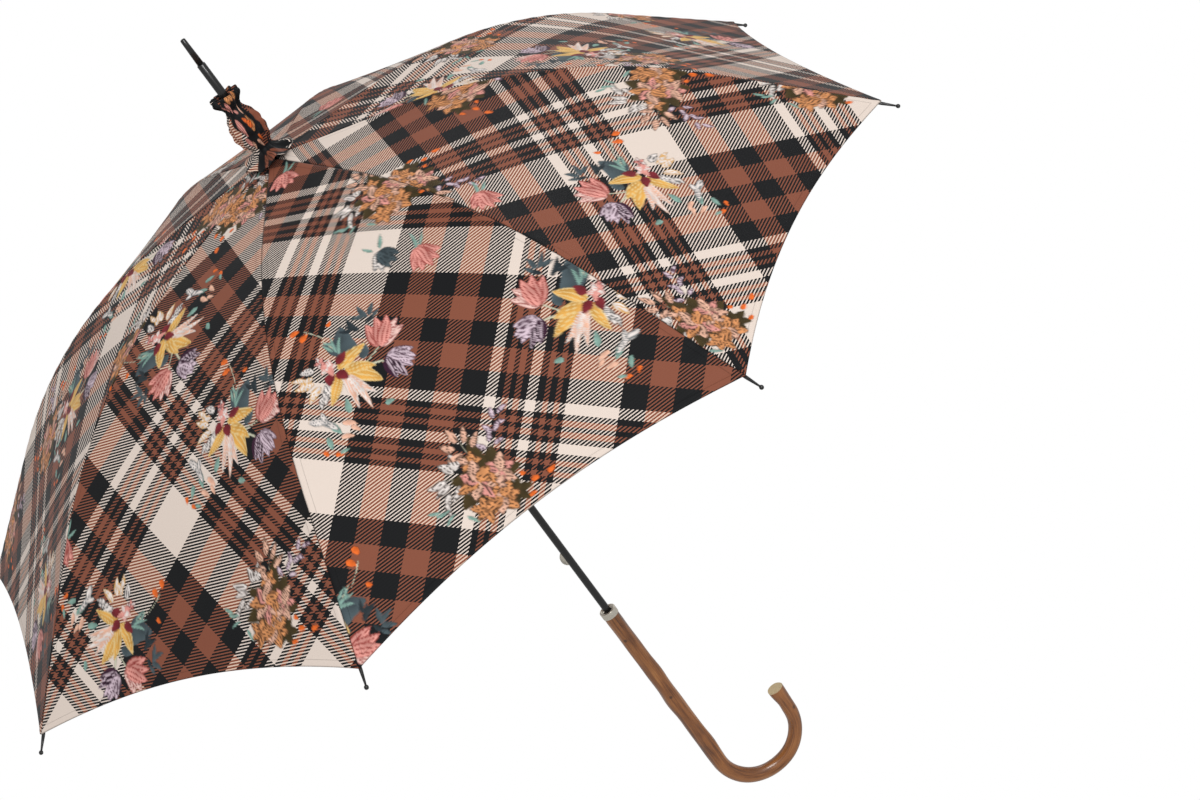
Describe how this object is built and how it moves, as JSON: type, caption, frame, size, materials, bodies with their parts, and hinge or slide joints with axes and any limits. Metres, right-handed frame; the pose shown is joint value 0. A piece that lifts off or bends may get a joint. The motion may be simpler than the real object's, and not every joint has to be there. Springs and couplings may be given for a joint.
{
  "type": "stick umbrella",
  "caption": "Long umbrella with a crook handle, curved ribs on a folding frame and a printed plaid canopy, shown open.",
  "frame": {"origin": "middle of the grip, on the axis of the shaft", "axes": "+Z along the shaft towards the ferrule, +X towards the open side of the crook"},
  "size_m": [0.9442, 0.9442, 0.9879],
  "materials": {
    "black_lacquer": "satin black",
    "dark_steel": "black enamelled steel",
    "nickel": "warm nickel plate",
    "chestnut": "lacquered bark-on chestnut",
    "canopy_satin": "printed satin plaid"
  },
  "bodies": {
    "stick": {"shaft": "black_lacquer", "ferrule": "black_lacquer", "ferrule_tip": "black_lacquer", "crown_notch": "dark_steel", "crown_wire": "dark_steel", "stop_pin": "dark_steel", "rosette": "canopy_satin", "handle": "chestnut", "collar": "nickel"},
    "rib_arm_1": {"rib_1": "dark_steel", "rivet_1": "dark_steel", "rib_tip_1": "black_lacquer"},
    "rib_arm_2": {"rib_2": "dark_steel", "rivet_2": "dark_steel", "rib_tip_2": "black_lacquer"},
    "rib_arm_3": {"rib_3": "dark_steel", "rivet_3": "dark_steel", "rib_tip_3": "black_lacquer"},
    "rib_arm_4": {"rib_4": "dark_steel", "rivet_4": "dark_steel", "rib_tip_4": "black_lacquer"},
    "rib_arm_5": {"rib_5": "dark_steel", "rivet_5": "dark_steel", "rib_tip_5": "black_lacquer"},
    "rib_arm_6": {"rib_6": "dark_steel", "rivet_6": "dark_steel", "rib_tip_6": "black_lacquer"},
    "rib_arm_7": {"rib_7": "dark_steel", "rivet_7": "dark_steel", "rib_tip_7": "black_lacquer"},
    "rib_arm_8": {"rib_8": "dark_steel", "rivet_8": "dark_steel", "rib_tip_8": "black_lacquer"},
    "gore_arm_1": {"gore_1": "canopy_satin"},
    "gore_arm_2": {"gore_2": "canopy_satin"},
    "gore_arm_3": {"gore_3": "canopy_satin", "tie_strap": "canopy_satin", "tie_snap": "nickel"},
    "gore_arm_4": {"gore_4": "canopy_satin"},
    "gore_arm_5": {"gore_5": "canopy_satin"},
    "gore_arm_6": {"gore_6": "canopy_satin"},
    "gore_arm_7": {"gore_7": "canopy_satin"},
    "gore_arm_8": {"gore_8": "canopy_satin"},
    "stretcher_arm_1": {"stretcher_1": "dark_steel"},
    "stretcher_arm_2": {"stretcher_2": "dark_steel"},
    "stretcher_arm_3": {"stretcher_3": "dark_steel"},
    "stretcher_arm_4": {"stretcher_4": "dark_steel"},
    "stretcher_arm_5": {"stretcher_5": "dark_steel"},
    "stretcher_arm_6": {"stretcher_6": "dark_steel"},
    "stretcher_arm_7": {"stretcher_7": "dark_steel"},
    "stretcher_arm_8": {"stretcher_8": "dark_steel"},
    "runner_body": {"runner": "dark_steel", "runner_wire": "dark_steel"},
    "top_catch_leaf": {"top_catch": "nickel"},
    "bottom_catch_leaf": {"bottom_catch": "nickel"}
  },
  "joints": [
    {"name": "canopy_fold", "type": "hinge", "parent": "stick", "child": "rib_arm_1", "pos_m": [0.00693, 0.00287, 0.6928], "axis": [-0.3827, 0.9239, 0], "range_deg": [0, 63.5], "deforming": ["gore_1", "gore_2", "gore_3", "gore_4", "gore_5", "gore_6", "gore_7", "gore_8", "tie_strap", "top_catch", "bottom_catch"]},
    {"name": "rib_2_swing", "type": "hinge", "parent": "stick", "child": "rib_arm_2", "pos_m": [0.00287, 0.00693, 0.6928], "axis": [-0.9239, 0.3827, 0], "range_deg": [0, 63.5]},
    {"name": "rib_3_swing", "type": "hinge", "parent": "stick", "child": "rib_arm_3", "pos_m": [-0.00287, 0.00693, 0.6928], "axis": [-0.9239, -0.3827, 0], "range_deg": [0, 63.5]},
    {"name": "rib_4_swing", "type": "hinge", "parent": "stick", "child": "rib_arm_4", "pos_m": [-0.00693, 0.00287, 0.6928], "axis": [-0.3827, -0.9239, 0], "range_deg": [0, 63.5]},
    {"name": "rib_5_swing", "type": "hinge", "parent": "stick", "child": "rib_arm_5", "pos_m": [-0.00693, -0.00287, 0.6928], "axis": [0.3827, -0.9239, 0], "range_deg": [0, 63.5]},
    {"name": "rib_6_swing", "type": "hinge", "parent": "stick", "child": "rib_arm_6", "pos_m": [-0.00287, -0.00693, 0.6928], "axis": [0.9239, -0.3827, 0], "range_deg": [0, 63.5]},
    {"name": "rib_7_swing", "type": "hinge", "parent": "stick", "child": "rib_arm_7", "pos_m": [0.00287, -0.00693, 0.6928], "axis": [0.9239, 0.3827, 0], "range_deg": [0, 63.5]},
    {"name": "rib_8_swing", "type": "hinge", "parent": "stick", "child": "rib_arm_8", "pos_m": [0.00693, -0.00287, 0.6928], "axis": [0.3827, 0.9239, 0], "range_deg": [0, 63.5]},
    {"name": "gore_1_swing", "type": "hinge", "parent": "stick", "child": "gore_arm_1", "pos_m": [0.0049, 0.0049, 0.6928], "axis": [-0.7071, 0.7071, 0], "range_deg": [0, 61.59]},
    {"name": "gore_2_swing", "type": "hinge", "parent": "stick", "child": "gore_arm_2", "pos_m": [0, 0.00693, 0.6928], "axis": [-1, 0, 0], "range_deg": [0, 61.59]},
    {"name": "gore_3_swing", "type": "hinge", "parent": "stick", "child": "gore_arm_3", "pos_m": [-0.0049, 0.0049, 0.6928], "axis": [-0.7071, -0.7071, 0], "range_deg": [0, 61.59]},
    {"name": "gore_4_swing", "type": "hinge", "parent": "stick", "child": "gore_arm_4", "pos_m": [-0.00693, 0, 0.6928], "axis": [0, -1, 0], "range_deg": [0, 61.59]},
    {"name": "gore_5_swing", "type": "hinge", "parent": "stick", "child": "gore_arm_5", "pos_m": [-0.0049, -0.0049, 0.6928], "axis": [0.7071, -0.7071, 0], "range_deg": [0, 61.59]},
    {"name": "gore_6_swing", "type": "hinge", "parent": "stick", "child": "gore_arm_6", "pos_m": [0, -0.00693, 0.6928], "axis": [1, 0, 0], "range_deg": [0, 61.59]},
    {"name": "gore_7_swing", "type": "hinge", "parent": "stick", "child": "gore_arm_7", "pos_m": [0.0049, -0.0049, 0.6928], "axis": [0.7071, 0.7071, 0], "range_deg": [0, 61.59]},
    {"name": "gore_8_swing", "type": "hinge", "parent": "stick", "child": "gore_arm_8", "pos_m": [0.00693, 0, 0.6928], "axis": [0, 1, 0], "range_deg": [0, 61.59]},
    {"name": "stretcher_1_swing", "type": "hinge", "parent": "rib_arm_1", "child": "stretcher_arm_1", "pos_m": [0.22041, 0.0913, 0.64203], "axis": [-0.3827, 0.9239, 0], "range_deg": [-127, 0]},
    {"name": "stretcher_2_swing", "type": "hinge", "parent": "rib_arm_2", "child": "stretcher_arm_2", "pos_m": [0.0913, 0.22041, 0.64203], "axis": [-0.9239, 0.3827, 0], "range_deg": [-127, 0]},
    {"name": "stretcher_3_swing", "type": "hinge", "parent": "rib_arm_3", "child": "stretcher_arm_3", "pos_m": [-0.0913, 0.22041, 0.64203], "axis": [-0.9239, -0.3827, 0], "range_deg": [-127, 0]},
    {"name": "stretcher_4_swing", "type": "hinge", "parent": "rib_arm_4", "child": "stretcher_arm_4", "pos_m": [-0.22041, 0.0913, 0.64203], "axis": [-0.3827, -0.9239, 0], "range_deg": [-127, 0]},
    {"name": "stretcher_5_swing", "type": "hinge", "parent": "rib_arm_5", "child": "stretcher_arm_5", "pos_m": [-0.22041, -0.0913, 0.64203], "axis": [0.3827, -0.9239, 0], "range_deg": [-127, 0]},
    {"name": "stretcher_6_swing", "type": "hinge", "parent": "rib_arm_6", "child": "stretcher_arm_6", "pos_m": [-0.0913, -0.22041, 0.64203], "axis": [0.9239, -0.3827, 0], "range_deg": [-127, 0]},
    {"name": "stretcher_7_swing", "type": "hinge", "parent": "rib_arm_7", "child": "stretcher_arm_7", "pos_m": [0.0913, -0.22041, 0.64203], "axis": [0.9239, 0.3827, 0], "range_deg": [-127, 0]},
    {"name": "stretcher_8_swing", "type": "hinge", "parent": "rib_arm_8", "child": "stretcher_arm_8", "pos_m": [0.22041, -0.0913, 0.64203], "axis": [0.3827, 0.9239, 0], "range_deg": [-127, 0]},
    {"name": "runner_foot", "type": "hinge", "parent": "stretcher_arm_1", "child": "runner_body", "pos_m": [0.00693, 0.00287, 0.59125], "axis": [-0.3827, 0.9239, 0], "range_deg": [0, 63.5]},
    {"name": "top_catch_press", "type": "slide", "parent": "stick", "child": "top_catch_leaf", "axis": [1, 0, 0], "range_m": [0, 0.0042], "stiffness_N_per_m": 500, "springref_m": -0.004},
    {"name": "bottom_catch_press", "type": "slide", "parent": "stick", "child": "bottom_catch_leaf", "axis": [1, 0, 0], "range_m": [0, 0.0042], "stiffness_N_per_m": 500, "springref_m": -0.004}
  ],
  "couplings": [
    {"joint": "rib_2_swing", "follows": "canopy_fold", "ratio": 1},
    {"joint": "rib_3_swing", "follows": "canopy_fold", "ratio": 1},
    {"joint": "rib_4_swing", "follows": "canopy_fold", "ratio": 1},
    {"joint": "rib_5_swing", "follows": "canopy_fold", "ratio": 1},
    {"joint": "rib_6_swing", "follows": "canopy_fold", "ratio": 1},
    {"joint": "rib_7_swing", "follows": "canopy_fold", "ratio": 1},
    {"joint": "rib_8_swing", "follows": "canopy_fold", "ratio": 1},
    {"joint": "gore_1_swing", "follows": "canopy_fold", "ratio": 0.97},
    {"joint": "gore_2_swing", "follows": "canopy_fold", "ratio": 0.97},
    {"joint": "gore_3_swing", "follows": "canopy_fold", "ratio": 0.97},
    {"joint": "gore_4_swing", "follows": "canopy_fold", "ratio": 0.97},
    {"joint": "gore_5_swing", "follows": "canopy_fold", "ratio": 0.97},
    {"joint": "gore_6_swing", "follows": "canopy_fold", "ratio": 0.97},
    {"joint": "gore_7_swing", "follows": "canopy_fold", "ratio": 0.97},
    {"joint": "gore_8_swing", "follows": "canopy_fold", "ratio": 0.97},
    {"joint": "stretcher_1_swing", "follows": "canopy_fold", "ratio": -2},
    {"joint": "stretcher_2_swing", "follows": "canopy_fold", "ratio": -2},
    {"joint": "stretcher_3_swing", "follows": "canopy_fold", "ratio": -2},
    {"joint": "stretcher_4_swing", "follows": "canopy_fold", "ratio": -2},
    {"joint": "stretcher_5_swing", "follows": "canopy_fold", "ratio": -2},
    {"joint": "stretcher_6_swing", "follows": "canopy_fold", "ratio": -2},
    {"joint": "stretcher_7_swing", "follows": "canopy_fold", "ratio": -2},
    {"joint": "stretcher_8_swing", "follows": "canopy_fold", "ratio": -2},
    {"joint": "runner_foot", "follows": "canopy_fold", "ratio": 1}
  ]
}
